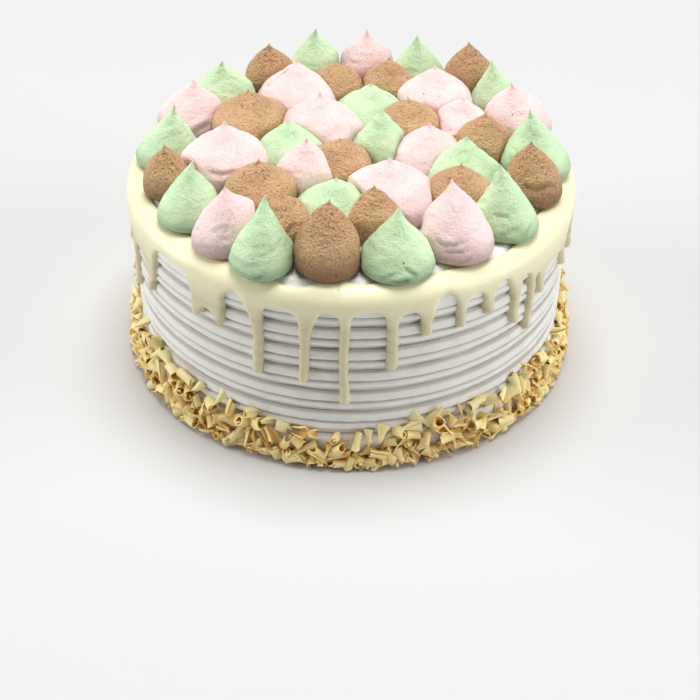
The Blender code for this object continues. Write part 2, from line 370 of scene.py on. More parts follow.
# Heights above the start of one tooth's mark, and how deep it cut there: a groove, a wide ridge, a
# deep crease, the recess above it, and a narrow ridge
TOOTH_RISE = np.array(
    [0.0, 0.35, 0.8, 1.3, 2.5, 3.8, 4.8, 5.2, 5.5, 5.85, 8.3, 8.6, 9.2, 10.3, 10.9, 11.3, 11.65]
) * MM
TOOTH_DEPTH = np.array(
    [1.6, 1.3, 0.1, -0.2, -0.15, 0.15, 0.6, 1.2, 2.3, 1.9, 0.6, 0.1, -0.15, -0.1, 0.2, 1.3, 1.6]
) * MM


def comb_depth(height):
    """How deep the comb cut at this height."""
    rise = (height - COMB_START) % COMB_PITCH
    depth = np.interp(rise, TOOTH_RISE, TOOTH_DEPTH)
    fading = smoothstep(COMB_FOOT - 1.2 * MM, COMB_FOOT + 0.2 * MM, height)
    return depth * fading * (height < COMB_END)


print(f"the comb passed {round((COMB_END - COMB_START) / COMB_PITCH)} pitches up the side")

# %% [markdown]
# The rows of points follow the comb: a row lies at every corner of a tooth, and halfway between two
# that are far apart. It rises and falls with the comb all the way round, so creases stay crisp.

# %% Where the points of the frosting lie
RIM_ROUNDING = 6.8 * MM
SHOULDER = FROSTING_TOP - RIM_ROUNDING
FOOT_BULGE = 1.8 * MM
# Soft frosting rose inside the ring of ganache when the dollops were set down
TOP_SWELL = 1.7 * MM
FROSTING_COLUMNS = 570
COLLAR_RADIUS = 95.5 * MM
# Bays of the ganache's inner edge: bearing and half the width in degrees, and how far out in mm
BAYS = (
    (-136, 9, -2.5), (-103, 7, 4), (-93, 4, -1.5), (-86, 4, 2.5),
    (-63, 5, -1.5), (-47, 6, 2.2), (-28, 8, -2.5),
)


def collar_radius(bearing):
    """How far from the axis the poured ganache's inner edge lies at a bearing."""
    circle = np.stack([np.cos(bearing), np.sin(bearing), 0 * bearing], -1)
    radius = COLLAR_RADIUS + 1.2 * MM * noise(circle, 0.16, 31)
    for middle, half, reach in BAYS:
        radius = radius + reach * MM * bell(turned_from(bearing, middle) / math.radians(half))
    return radius


def combed_heights():
    """Heights of the rows from the lowest of the comb's marks to the shoulder."""
    halfway = (TOOTH_RISE[1:] + TOOTH_RISE[:-1]) / 2
    teeth = np.concatenate([TOOTH_RISE[:-1], halfway[np.diff(TOOTH_RISE) > 0.9 * MM]])
    heights = (COMB_START + COMB_PITCH * np.arange(-1, 6)[:, None] + teeth).ravel()
    inside = (heights > COMB_FOOT - 1.5 * MM) & (heights < SHOULDER - 0.4 * MM)
    return np.unique(np.round(heights[inside], 6))


def frosting_profile():
    """Radius and height of the rows, from the base up the side and over the top."""
    foot = [(r * SIDE_RADIUS, 0) for r in (0.35, 0.7, 0.95)] + [(SIDE_RADIUS - 1.2 * MM, 0.2 * MM)]
    band = [(SIDE_RADIUS, z) for z in np.arange(1.2, 14.9, 1.1) * MM]
    combed = [(SIDE_RADIUS, z) for z in combed_heights()]
    corner = SIDE_RADIUS - RIM_ROUNDING
    rim = [
        (corner + RIM_ROUNDING * math.cos(turn), SHOULDER + RIM_ROUNDING * math.sin(turn))
        for turn in np.linspace(0, math.pi / 2, 9)
    ]
    inwards = (0.985, 0.97, 0.955, 0.94, 0.92, 0.89, 0.84, 0.76, 0.62, 0.42, 0.2)
    top = [(share * corner, FROSTING_TOP) for share in inwards]
    return np.array(foot + band + combed + rim + top)


def frosting_points():
    profile = frosting_profile()
    bearing = np.linspace(0, 2 * math.pi, FROSTING_COLUMNS, endpoint=False)
    radius, height = (np.repeat(column[:, None], FROSTING_COLUMNS, 1) for column in profile.T)
    around = np.broadcast_to(bearing, radius.shape)
    unit = np.stack([np.cos(around), np.sin(around), np.zeros_like(around)], -1)
    on_side = (radius > SIDE_RADIUS - 0.01 * MM) & (height > 0.5 * MM)
    sheet = unit * SIDE_RADIUS + np.stack([0 * height, 0 * height, height], -1)

    cut = comb_depth(height) * (1 + 0.2 * noise(sheet, 0.014, 5))
    waver = 0.6 * MM * np.sin(around + math.radians(80)) + 0.35 * MM * noise(unit * 0.1, 0.045, 3)
    free = smoothstep(COMB_START - 6 * MM, COMB_START, height)
    free = free * (1 - smoothstep(SHOULDER - 5 * MM, SHOULDER, height))
    ragged = 0.16 * MM * rough_noise(sheet * (1, 1, 2.2), 0.006, 7)
    below = 1 - smoothstep(COMB_START - 5 * MM, COMB_START, height)
    bulge = below * FOOT_BULGE * (1 - (height / COMB_START - 0.4) ** 2 / 0.5)
    smears = below * 0.9 * MM * rough_noise(sheet, 0.013, 9)
    radius = radius + on_side * (bulge + smears + ragged - cut)
    on_top = height > FROSTING_TOP - 0.01 * MM
    lumps = 0.3 * MM * rough_noise(unit * radius[..., None], 0.012, 11)
    bare = collar_radius(around) - radius
    lumps = lumps + TOP_SWELL * smoothstep(-1 * MM, 3 * MM, bare)
    points = unit * radius[..., None]
    points[..., 2] = height + waver * free + on_top * lumps
    return points, cut * on_side


# %% [markdown]
# The frosting is white, but not blank. Its grooves are painted darker and warmer as painted shade,
# and the deepest crease gets a darker painted shadow line. The whipped cream is full of fine air
# bubbles, which make its ridges slightly sandy. The depth of the comb's cut is stored on the mesh,
# so the finish can paint the shade into the grooves exactly where they are.


# %% Frosting finish
def frosting_finish():
    finish = Finish(
        "whipped_frosting",
        Subsurface_Weight=0.15,
        Subsurface_Radius=(1.0, 0.85, 0.75),
        Subsurface_Scale=0.001,
        Specular_IOR_Level=0.35,
    )
    depth = finish.mark("cut")
    bubbles = finish.grain(1.1 * MM, detail=3)
    clouds = finish.grain(11 * MM, detail=2)
    # painted shade: the comb's grooves are darkened and warmed, and the deepest crease darker still
    painted_hollow_shade = depth.between(0.2, 0.8)
    painted_crease_shade = depth.between(1.7, 2.2)
    white = finish.mix(clouds * 0.5, (0.89, 0.885, 0.83), (0.84, 0.835, 0.79))
    colour = finish.mix(painted_hollow_shade * 0.6, white, (0.60, 0.53, 0.49))
    colour = finish.mix(painted_crease_shade * 0.6, colour, (0.32, 0.28, 0.26))
    surface = finish.bump(bubbles + clouds * 0.4, 0.4 * MM)
    return finish.feed(colour, 0.5 + bubbles * 0.2, surface)


# %% Frosting
points, cut = frosting_points()
points, faces = turned_solid(points, (0, 0, 0), (0, 0, FROSTING_TOP))
marks = {"cut": np.append(cut.ravel() / MM, [0, 0])}
piece("frosting", points, faces, frosting_finish(), "frosted_cake", marks)
print("frosting faces:", len(faces))

# %% [markdown]
# ## The poured ganache
#
# Ivory ganache is spooned round the rim while warm. It spreads into a collar with a soft lip,
# creeps over the edge, and where enough gathers it runs down in drips that swell at their ends. A
# simulation of this would be slow and hard to steer, and metaballs would look like beads. Here the
# pool's outline is drawn on the unrolled side of the cake. Each point inside it is raised by how
# far it lies from the outline, which gives the rounded edge that surface tension makes.
#
# A place on the unrolled cake is two lengths: how far round, and how far down from the shoulder,
# along the surface. The solid says where each drip ends and how high the arch beside it reaches.


# %% Drips and arches of the solid
def fall_of(height):
    """How far down from the shoulder a height lies, along the surface."""
    climb = np.clip((height - SHOULDER) / RIM_ROUNDING, 0, 1)
    return np.where(height < SHOULDER, SHOULDER - height, -RIM_ROUNDING * np.arcsin(climb))


def lower_edge():
    """Bearing and height of the lowest corner of each column of the solid ganache."""
    lowest = {}
    on_side = abs(ganache_radii - SIDE_RADIUS - GAP) < 0.05 * MM
    for x, y, height in ganache_corners[on_side]:
        bearing = round(math.degrees(math.atan2(y, x)), 2)
        lowest[bearing] = min(height, lowest.get(bearing, 1.0))
    bearings = np.array(sorted(lowest))
    return np.radians(bearings), np.array([lowest[b] for b in bearings])


# A narrow gap between two drips has no column of its own at the top of its arch
COLUMNS_WITHOUT_CROWN = 6
ROOT_DROP = 2 * MM


def drips_and_arches():
    """Place round and fall of each drip's tip, and fall of the arch that follows each."""
    bearings, heights = lower_edge()
    is_tip = (heights < np.roll(heights, 1)) & (heights < np.roll(heights, -1))
    tips = np.flatnonzero(is_tip)
    crowns = []
    for this, after in zip(tips, np.roll(tips, -1)):
        between = np.roll(heights, -this - 1)[: (after - this) % len(heights) - 1]
        missing = ROOT_DROP if len(between) <= COLUMNS_WITHOUT_CROWN else 0
        crowns.append(between.max() + missing)
    return bearings[tips] * SIDE_RADIUS, fall_of(heights[tips]), fall_of(np.array(crowns))


drip_round, drip_fall, arch_fall = drips_and_arches()
longest = drip_fall.max() / MM
print(len(drip_round), "drips, the longest", round(longest, 1), "mm below the shoulder")

# %% [markdown]
# The outline of one drip is worked out on each side of its middle. Far down, it is as wide as the
# drip. Near the arch it widens in a quarter of an ellipse, and a wide arch is flat at its crown.
# At its end it is round. One function gives this half-width for any drip and any fall, so the same
# rule draws the outline and says which points lie inside it. Where much ganache went over at once,
# a side of the drip widens steadily upwards, as at the tongue at the front left.

# %% The outline of the pool
ONCE_ROUND = 2 * math.pi * SIDE_RADIUS
DRIPS = len(drip_round)
FLARE = 0.7 * MM
ARCH_ROUNDING = 4.8 * MM
ARCH_CORNER = 5.5 * MM
rng = np.random.default_rng(21)
drip_width = 2.5 * MM * rng.uniform(0.92, 1.1, DRIPS)
bead_width = drip_width * rng.uniform(1.0, 1.12, DRIPS)
drip_phase = rng.uniform(0, 6, DRIPS)
# By bearing of a drip and its side (0 left, 1 right): by how many mm it widens towards its root,
# over which share of its length, and how fast
FLANKS = {
    (-148, 0): (2, 1, 1), (-148, 1): (5, 0.85, 0.4), (-129, 0): (2.2, 1, 1),
    (-129, 1): (1.5, 1, 0.3), (-122, 0): (1.5, 1, 0.3), (-122, 1): (1, 1, 0.3),
    (-111, 0): (4.5, 0.5, 1.5), (-100, 1): (5, 0.5, 1.5), (-71, 1): (2.5, 0.8, 1),
    (-45, 0): (4, 0.5, 1.5),
}
flank_width = np.zeros((2, DRIPS))
flank_share, flank_power = np.ones((2, 2, DRIPS))
for (bearing, side), (width, share, power) in FLANKS.items():
    drip = abs(drip_round - math.radians(bearing) * SIDE_RADIUS).argmin()
    flank_width[side, drip] = width * MM
    flank_share[side, drip], flank_power[side, drip] = share, power


def drip_middle(drip, fall):
    """How far round the middle of a drip lies. It wanders a little on its way down."""
    wander = 0.3 * MM * np.sin(fall / (7 * MM) + drip_phase[drip % DRIPS])
    return drip_round[drip % DRIPS] + drip // DRIPS * ONCE_ROUND + wander


def half_width(drip, arch, fall, room):
    """Half the width of a drip towards an arch, room away from it. It is 0 below the tip."""
    drip, arch = drip % DRIPS, arch % DRIPS
    bead = bead_width[drip]
    middle = drip_fall[drip] - bead
    swell = bell((fall - middle) / (2.2 * bead))
    stem = drip_width[drip] + (bead - drip_width[drip]) * swell
    ball = np.sqrt(np.clip(1 - ((fall - middle) / bead) ** 2, 0, 1))
    side = np.asarray(drip == arch).astype(int)
    run = (fall - arch_fall[arch]) / (middle - arch_fall[arch]) / flank_share[side, drip]
    stem = stem + flank_width[side, drip] * np.clip(1 - run, 0, 1) ** flank_power[side, drip]
    depth = np.clip(fall - arch_fall[arch], 0, None)
    stem = stem + FLARE * np.exp(-depth / (5 * MM))
    width = np.where(fall > middle, bead * ball, stem)
    gap = np.clip(room - width, 0, None)
    from_top = np.clip(depth / np.clip(gap, 1.5 * MM, ARCH_ROUNDING), 0, 1)
    corner = np.minimum(gap, ARCH_CORNER) * (1 - np.sqrt(1 - (1 - from_top) ** 2))
    crown = np.clip(gap - ARCH_CORNER, 0, None) * np.exp(-depth / (0.4 * MM))
    return np.where(depth > 0, np.minimum(width + corner + crown, room), room)


def edge_of(drip, side, fall):
    """How far round the left (-1) or right (1) edge of a drip lies at this fall."""
    arch = drip if side > 0 else drip - 1
    room = (drip_middle(arch + 1, 0) - drip_middle(arch, 0)) / 2
    return drip_middle(drip, fall) + side * half_width(drip, arch, fall, room)


def outline_points():
    """Points close together along the lower outline, with some to spare at each end."""
    found = []
    for drip in range(-2, DRIPS + 2):
        for side in (-1, 1):
            arch = (drip if side > 0 else drip - 1) % DRIPS
            top, tip = arch_fall[arch], drip_fall[drip % DRIPS]
            steps = max(8, int((tip - top) / (0.12 * MM)))
            ease = (1 - np.cos(np.linspace(0, math.pi, steps))) / 2
            fall = top + (tip - top) * ease
            found.append(np.stack([edge_of(drip, side, fall), fall], -1))
    return np.vstack(found)


def inside_outline(around, fall):
    """Whether points of the unrolled cake lie above the lower outline."""
    drip = np.searchsorted(drip_round, around) - 1
    in_left = (around < edge_of(drip, 1, fall)) & (fall < drip_fall[drip % DRIPS])
    in_right = (around > edge_of(drip + 1, -1, fall)) & (fall < drip_fall[(drip + 1) % DRIPS])
    return (fall < arch_fall[drip % DRIPS]) | in_left | in_right


# %% [markdown]
# The inner edge of the collar lies on the flat top, just inside the rim, and wanders. The pool is a
# grid of points. Points just outside the outline are pulled onto it, so that the border is
# smooth, and the same grid is used twice: once raised, and once pressed into the frosting below.

# %% The pool as a grid
STEP = 0.78 * MM
FLAT_START = -RIM_ROUNDING * math.pi / 2
around_steps = int(ONCE_ROUND / STEP)


def inner_edge(around):
    """The fall of the collar's inner edge, a negative number."""
    return FLAT_START - (SIDE_RADIUS - RIM_ROUNDING - collar_radius(around / SIDE_RADIUS))


def on_cake(around, fall, raised):
    """Places in the room of points of the unrolled cake, raised off its surface."""
    turn = np.clip(-fall / RIM_ROUNDING, 0, math.pi / 2)
    radius = SIDE_RADIUS - RIM_ROUNDING + np.cos(turn) * (RIM_ROUNDING + raised)
    height = SHOULDER + np.sin(turn) * (RIM_ROUNDING + raised)
    radius = radius - np.clip(FLAT_START - fall, 0, None)
    height = height - np.clip(fall, 0, None)
    bearing = around / SIDE_RADIUS
    return np.stack([radius * np.cos(bearing), radius * np.sin(bearing), height], -1)


def pool_grid():
    """The grid's places, whether each is inside, and how far it is from the outline."""
    fall = np.arange(FLAT_START - 8 * MM, drip_fall.max() + STEP, STEP)
    around = (np.arange(around_steps) / around_steps - 0.5) * ONCE_ROUND
    fall, around = np.meshgrid(fall, around, indexing="ij")
    inner = inner_edge(around)
    inside = inside_outline(around, fall) & (fall > inner)
    outline = outline_points()
    nearest = KDTree(len(outline))
    for number, (x, y) in enumerate(outline):
        nearest.insert((x, y, 0), number)
    nearest.balance()
    distance = np.clip(fall - inner, 0, None)
    for spot in np.argwhere(fall > arch_fall.min() - 6 * MM):
        spot = tuple(spot)
        place, _, apart = nearest.find((around[spot], fall[spot], 0))
        if inside[spot]:
            distance[spot] = min(distance[spot], apart)
        elif fall[spot] > inner[spot]:
            around[spot], fall[spot] = place.x, place.y
    too_far_in = ~inside & (fall < inner)
    fall = np.where(too_far_in, inner, fall)
    return around, fall, inside, np.where(inside, distance, 0)


# %% Raise the pool
COLLAR_THICKNESS, MORE_ON_SIDE, MORE_AT_BEAD = 1.45, 0.65, 0.75
SEAM_BEARING, SEAM_HEIGHT = -91.5, 0.45


def pool_thickness(around, fall, distance, places):
    """How far the ganache stands off the cake, rounded towards its outline."""
    on_side = smoothstep(-13 * MM, -3 * MM, fall)
    full = MM * (COLLAR_THICKNESS + MORE_ON_SIDE * on_side)
    full = full * (1 + 0.13 * rough_noise(places, 0.02, 33))
    for drip in range(DRIPS):
        middle = drip_fall[drip] - bead_width[drip]
        apart = np.hypot(around - drip_middle(drip, middle), fall - middle)
        full = full + MORE_AT_BEAD * MM * bell(apart / (3 * MM))
    edge = MM * (1.7 + 0.6 * on_side)
    from_edge = np.clip(distance / edge, 0, 1)
    return full * np.sqrt(1 - (1 - from_edge) ** 2)


def seam_lip(around, fall):
    """The faint upright step where the pouring began and ended."""
    across = around - math.radians(SEAM_BEARING) * SIDE_RADIUS
    step = smoothstep(-0.35 * MM, 0.35 * MM, across) * np.exp(-np.clip(across, 0, None) / (9 * MM))
    return SEAM_HEIGHT * MM * step * (1 - smoothstep(-4 * MM, 3 * MM, fall))


around, fall, inside, distance = pool_grid()
ground = on_cake(around, fall, 0)
side_height = SHOULDER - fall
sunk = 0.3 * MM + 0.8 * comb_depth(side_height) * (fall > 0)
raised = pool_thickness(around, fall, distance, ground) + seam_lip(around, fall) * inside
raised = raised - 0.22 * comb_depth(side_height) * (fall > 0)
raised = raised - sunk * (1 - smoothstep(0, 1.0 * MM, distance))
outer = on_cake(around, fall, raised)
under = on_cake(around, fall, -sunk)

# %% [markdown]
# Ganache is smooth and satin, with a slight glow, because light enters it and comes out again a
# little yellower. Where it is thin, at its edges and at the root of an arch, it is darkened with
# painted shade, and it gets more painted shade the further it runs down the side. The thickness and
# the fall are stored on the mesh, and a fine, weak bump keeps the gloss from being perfect.


# %% Ganache finish
def ganache_finish():
    finish = Finish(
        "ivory_ganache",
        Subsurface_Weight=0.35,
        Subsurface_Radius=(1.0, 0.8, 0.4),
        Subsurface_Scale=0.0022,
        Specular_IOR_Level=0.5,
    )
    clouds = finish.grain(16 * MM, detail=2)
    dimples = finish.grain(2.4 * MM, detail=3)
    # painted shade: darker where the ganache is thin at its edges, and darker the further down the
    # side it runs
    painted_edge_shade = finish.mark("depth").between(1.9, 0.2)
    painted_side_shade = finish.mark("fall").between(-1, 13)
    ivory = finish.mix(clouds * 0.5, (0.90, 0.85, 0.58), (0.87, 0.80, 0.52))
    colour = finish.mix(painted_edge_shade * 0.5, ivory, (0.80, 0.73, 0.48))
    colour = finish.mix(painted_side_shade * 0.7, colour, (0.62, 0.55, 0.36))
    return finish.feed(colour, 0.30 + dimples * 0.16, finish.bump(dimples, 0.09 * MM))


# %% Ganache
def closed_sheet(outer, under, inside):
    """A closed skin from two copies of a grid, which share the points of their border."""
    rows, columns = inside.shape
    squares = grid_faces(rows, columns)[:, ::-1]
    kept = squares[inside.ravel()[squares].any(axis=1)]
    used = np.unique(kept)
    of_outer = np.full(rows * columns, -1)
    of_outer[used] = np.arange(len(used))
    inner_points = used[inside.ravel()[used]]
    of_under = of_outer.copy()
    of_under[inner_points] = len(used) + np.arange(len(inner_points))
    points = np.vstack([outer.reshape(-1, 3)[used], under.reshape(-1, 3)[inner_points]])
    return points, np.vstack([of_outer[kept], of_under[kept][:, ::-1]]), used, inner_points


points, faces, used, inner_points = closed_sheet(outer, under, inside)
depth = np.concatenate([raised.ravel()[used], np.zeros(len(inner_points))]) / MM
fall_marks = np.concatenate([fall.ravel()[used], fall.ravel()[inner_points]]) / MM
marks = {"depth": depth, "fall": fall_marks}
piece("ganache", points, faces, ganache_finish(), "ganache_drip", marks)
print("ganache faces:", len(faces))

# %% [markdown]
# ## The piped dollops
#
# Each dollop was squeezed from a bag with a plain round nozzle held still, then lifted away. Cream
# piles up, slumps towards its foot, and a small nipple is pulled up as the nozzle leaves. Where two
# dollops meet, they flatten each other. A sculpted or simulated heap could not be placed exactly,
# so each one is a turned shape whose outline follows one formula, cut by upright walls halfway to
# its neighbours. The walls' edges are rounded by a smooth minimum.
#
# The solids follow the same formula with few sides, so their corners give back every size. A
# dollop near the middle is crowded: its neck is short, and soft cream spreads till it meets more.

# %% Read the dollops from the solids
BELLY = 0.11
FOOT_WIDTH = 0.85
TUCK = 2.2
PLUMPNESS = {"mint": 1.35, "pink": 1.75, "cocoa": 2.6}
RIM_NECK = 1.2
CROWDED_NECK = 1.0
CROWDED_REACH = 75 * MM
CROWDED_SPREAD = {"mint": 1.18, "pink": 1.12, "cocoa": 1.0}
HIGH_RING = 0.82


def dollop_radius(share, plumpness, neck):
    """The half-width of a dollop at a share of its height, as a share of its widest."""
    tucked = 1 - (1 - FOOT_WIDTH) * np.clip((BELLY - share) / BELLY, 0, None) ** TUCK
    climb = np.clip((share - BELLY) / (1 - BELLY), 0, 1)
    return np.where(share < BELLY, tucked, (1 - climb**plumpness) ** neck)


def read_dollop(node):
    corners = np.unique(np.round(corners_of(node), 5), axis=0)
    floor, top = corners[:, 2].min(), corners[:, 2].max()
    tip = corners[corners[:, 2].argmax(), :2]
    at_ring = abs(corners[:, 2] - floor - HIGH_RING * (top - floor)) < 0.05 * MM
    ring = corners[at_ring, :2]
    lean = (tip - ring.mean(0)) / (1 - HIGH_RING**2)
    flavour = node.split("_")[1]
    crowded = np.hypot(*(tip - lean)) < CROWDED_REACH
    neck = CROWDED_NECK if crowded else RIM_NECK
    reach = np.hypot(*(ring - ring.mean(0)).T).mean()
    spread_radius = reach / float(dollop_radius(HIGH_RING, PLUMPNESS[flavour], neck))
    return {
        "node": node,
        "name": node.removeprefix("dollop_"),
        "flavour": flavour,
        "floor": floor,
        "height": top - floor,
        "lean": lean,
        "centre": tip - lean,
        "crowded": crowded,
        "neck": neck,
        "spread_radius": spread_radius,
        "radius": spread_radius / (CROWDED_SPREAD[flavour] if crowded else 1),
    }


dollops = [read_dollop(node) for node in sorted(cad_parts) if node.startswith("dollop")]
widths = [2 * dollop["radius"] / MM for dollop in dollops]
print(len(dollops), f"dollops, {min(widths):.0f} to {max(widths):.0f} mm wide")

# %% [markdown]
# Piped cream is never perfectly smooth. Folds form low down, where it slumped while the nozzle was
# still pushing, and grooves run down from the tip where the nozzle was pulled away. Both are short
# lines on the skin: the cream dips along the line and swells beside it. A slump is broader: on one
# side the cream sagged, and stands out further there. Every dollop gets a few of each at random,
# and some get the deep ones that give them their character.


# %% Folds and slumps
def fold_dip(turn, height, radius, fold):
    """How far the skin moves out, in metres, near a fold. Its swollen lip lies above the dip."""
    bearing, level, length, tilt, depth, width = fold
    level_run, level_rise = turned_from(turn, bearing) * radius, height - level * MM
    tilt = math.radians(tilt)
    along = level_run * math.cos(tilt) + level_rise * math.sin(tilt)
    across = level_rise * math.cos(tilt) - level_run * math.sin(tilt)
    across = across - 0.6 * MM * np.sin(along / (2.1 * MM))
    window = 1 - smoothstep(0.3 * length * MM, 0.5 * length * MM, abs(along))
    across = across / (width * MM)
    lip = bell((across - 2.2) / 1.6)
    return depth * MM * window * (0.5 * lip - bell(across))


def slump_swell(turn, share, slump):
    """The share by which the reach grows round a slump: its bearing, level and strength."""
    bearing, level, strength = slump
    return strength * bell(turned_from(turn, bearing) / 0.75) * bell((share - level) / 0.22)


# By dollop: bearing, then height, length, tilt in degrees, depth and width, with lengths in mm
DEEP_FOLDS = {
    "pink_01": [(-75, 15, 8, 40, 0.5, 0.8)],
    "pink_05": [
        (-110, 10, 12, -8, 0.9, 0.8), (-98, 7.5, 10, -6, 0.8, 0.8), (-84, 4, 8, 12, 0.7, 0.7)
    ],
    "pink_06": [(-86, 10.5, 18, -4, 1.0, 1.1), (-62, 15, 7, 25, 1.0, 1.0)],
    "pink_07": [(-160, 18, 13, 60, 0.9, 1.1)],
    "pink_02": [(-75, 6, 16, 12, 1.6, 1.3)],
    "pink_12": [(-70, 12, 20, 10, 0.9, 1.6)],
    "mint_10": [
        (-84, 2.6, 9, -8, 1.8, 0.8), (-68, 6, 8, -48, 1.0, 0.7), (-104, 4.5, 9, 8, 0.5, 0.8)
    ],
    "mint_01": [(-100, 2.6, 8, 8, 0.9, 0.7), (-114, 7, 11, 0, 0.4, 0.9)],
    "mint_09": [
        (-104, 12, 10, -10, 0.8, 0.8), (-52, 5.5, 9, 18, 0.9, 0.8), (-88, 6, 11, 5, 0.5, 0.8)
    ],
    "mint_08": [(-40, 12, 9, 25, 0.9, 0.8)],
    "mint_07": [(-80, 20, 6, 10, 0.8, 0.8)],
    "cocoa_04": [(-80, 11, 20, 2, 1.7, 1.3), (-55, 8.5, 9, 12, 0.6, 0.8)],
    "cocoa_06": [(-70, 8, 12, 20, 0.8, 1.1)],
}
# By dollop: bearing, share of the height, and how much further the cream reaches there
DEEP_SLUMPS = {
    "pink_01": [(25, 0.68, 0.75)],
    "pink_03": [(0, 0.6, 0.25)],
    "pink_05": [(160, 0.6, 0.2)],
    "pink_06": [(-150, 0.45, 0.12), (10, 0.65, 0.15)],
    "mint_01": [(180, 0.3, 0.13), (180, 0.7, -0.16)],
    "mint_02": [(5, 0.6, 0.25)],
    "mint_04": [(0, 0.7, 0.8), (0, 0.35, 0.3)],
    "mint_05": [(0, 0.6, 0.4)],
    "mint_07": [(0, 0.6, 0.3)],
    "mint_10": [(175, 0.42, 0.12), (0, 0.5, 0.1)],
    "cocoa_02": [(0, 0.6, 0.3)],
    "cocoa_06": [(20, 0.65, 0.25)],
}


def folds_of(dollop, draw):
    tall = dollop["height"] / MM
    low = [
        (draw.uniform(0, 360), tall * draw.uniform(0.12, 0.5), draw.uniform(6, 14),
         draw.uniform(-14, 14), draw.uniform(0.15, 0.4), 0.8)
        for _ in range(5)
    ]
    lifted = [
        (draw.uniform(0, 360), tall * draw.uniform(0.6, 0.8), draw.uniform(5, 9),
         draw.choice((-1, 1)) * draw.uniform(50, 85), draw.uniform(0.2, 0.45), 0.8)
        for _ in range(3)
    ]
    return low + lifted + DEEP_FOLDS.get(dollop["name"], [])


def slumps_of(dollop, draw):
    slight = [
        (draw.uniform(0, 360), draw.uniform(0.25, 0.7), draw.uniform(-0.10, 0.13)) for _ in range(4)
    ]
    return slight + DEEP_SLUMPS.get(dollop["name"], [])


# %% The bare shape and skin of a dollop
# The share of the height that a nipple takes, how far below the tip its root lies as a share of
# the height, the radius of its root, and how fast it narrows. A crowded dollop is drawn out more
# gently, from further down, over a slight waist.
NIPPLES = {
    "mint": (0.025, 0.065, 0.6 * MM, 0.7),
    "pink": (0.02, 0.065, 0.6 * MM, 0.7),
    "cocoa": (0.03, 0.065, 0.6 * MM, 0.7),
    "crowded": (0.10, 0.2, 3.2 * MM, 1.4),
}
WAIST, WAIST_LEVEL, WAIST_HEIGHT = 0.14, 0.76, 0.14


def bare_reach(dollop, share):
    """The half-width of a dollop and its nipple before anything pushes or folds it."""
    kind = "crowded" if dollop["crowded"] else dollop["flavour"]
    nipple, root, radius, power = NIPPLES[kind]
    width = dollop_radius(share / (1 - nipple), PLUMPNESS[dollop["flavour"]], dollop["neck"])
    if dollop["crowded"]:
        width = width * (1 - WAIST * bell((share - WAIST_LEVEL) / WAIST_HEIGHT))
    drawn_out = radius * np.clip((1 - share) / root, 0, 1) ** power
    return np.hypot(dollop["spread_radius"] * width, drawn_out)


def skin_relief(dollop, spots, share):
    """Lumps, ripples and grain of the skin, in metres. Cocoa is roughest, most of all high up."""
    dry = 1.0 if dollop["flavour"] == "cocoa" else 0.45
    on_body = 1 - smoothstep(0.82, 1.0, share)
    torn = smoothstep(0.45, 0.8, share)
    lumps = 0.7 * rough_noise(spots, 0.014, 41, 2)
    ripples = 0.2 * rough_noise(spots * (1, 1, 2.2), 0.0045, 43, 2)
    grain = (0.12 + 0.24 * torn) * dry * rough_noise(spots * (1, 1, 1.4), 0.0024, 45, 2)
    return MM * on_body * (lumps + ripples + grain)


# %% Walls between neighbours
CREASE_ROUNDING = 1.5 * MM
WALL_WAVER = 0.8 * MM
OVERLAP = 0.12 * MM
LEAST_FACING = 0.05


def smooth_minimum(a, b, rounding):
    """The smaller of two lengths, eased where they are nearly equal."""
    near = np.clip(1 - abs(a - b) / rounding, 0, None)
    return np.minimum(a, b) - near**2 * rounding / 4


def pressed_back(dollop, reach, unit, drift, height):
    """A dollop's reach in each direction once the walls to its neighbours cut it short."""
    for other in dollops:
        across = other["centre"] - dollop["centre"]
        apart = np.hypot(*across)
        if other is dollop or apart >= dollop["spread_radius"] + other["spread_radius"]:
            continue
        direction = across / apart
        wall = (apart**2 + dollop["radius"] ** 2 - other["radius"] ** 2) / (2 * apart) + OVERLAP
        facing = unit @ direction
        towards = np.where(facing > LEAST_FACING, facing, 1)
        limit = (wall - drift @ direction) / towards
        on_wall = dollop["centre"] + drift + unit * limit[..., None]
        on_wall = np.concatenate([on_wall, height[..., None]], -1)
        side = 1 if dollop["node"] < other["node"] else -1
        limit = limit + side * WALL_WAVER * noise(on_wall, 0.011, 47) / towards
        limit = np.where(facing > LEAST_FACING, limit, 1)
        reach = smooth_minimum(reach, np.clip(limit, 0.2 * MM, None), CREASE_ROUNDING)
    return reach


# %% All points of a dollop
COLUMNS, RINGS, TIP_RINGS = 88, 42, 10
TIP_FROM = 0.86
SUNK_FOOT = 2.4 * MM
HOOK, HOOK_FROM = 0.8 * MM, 0.82


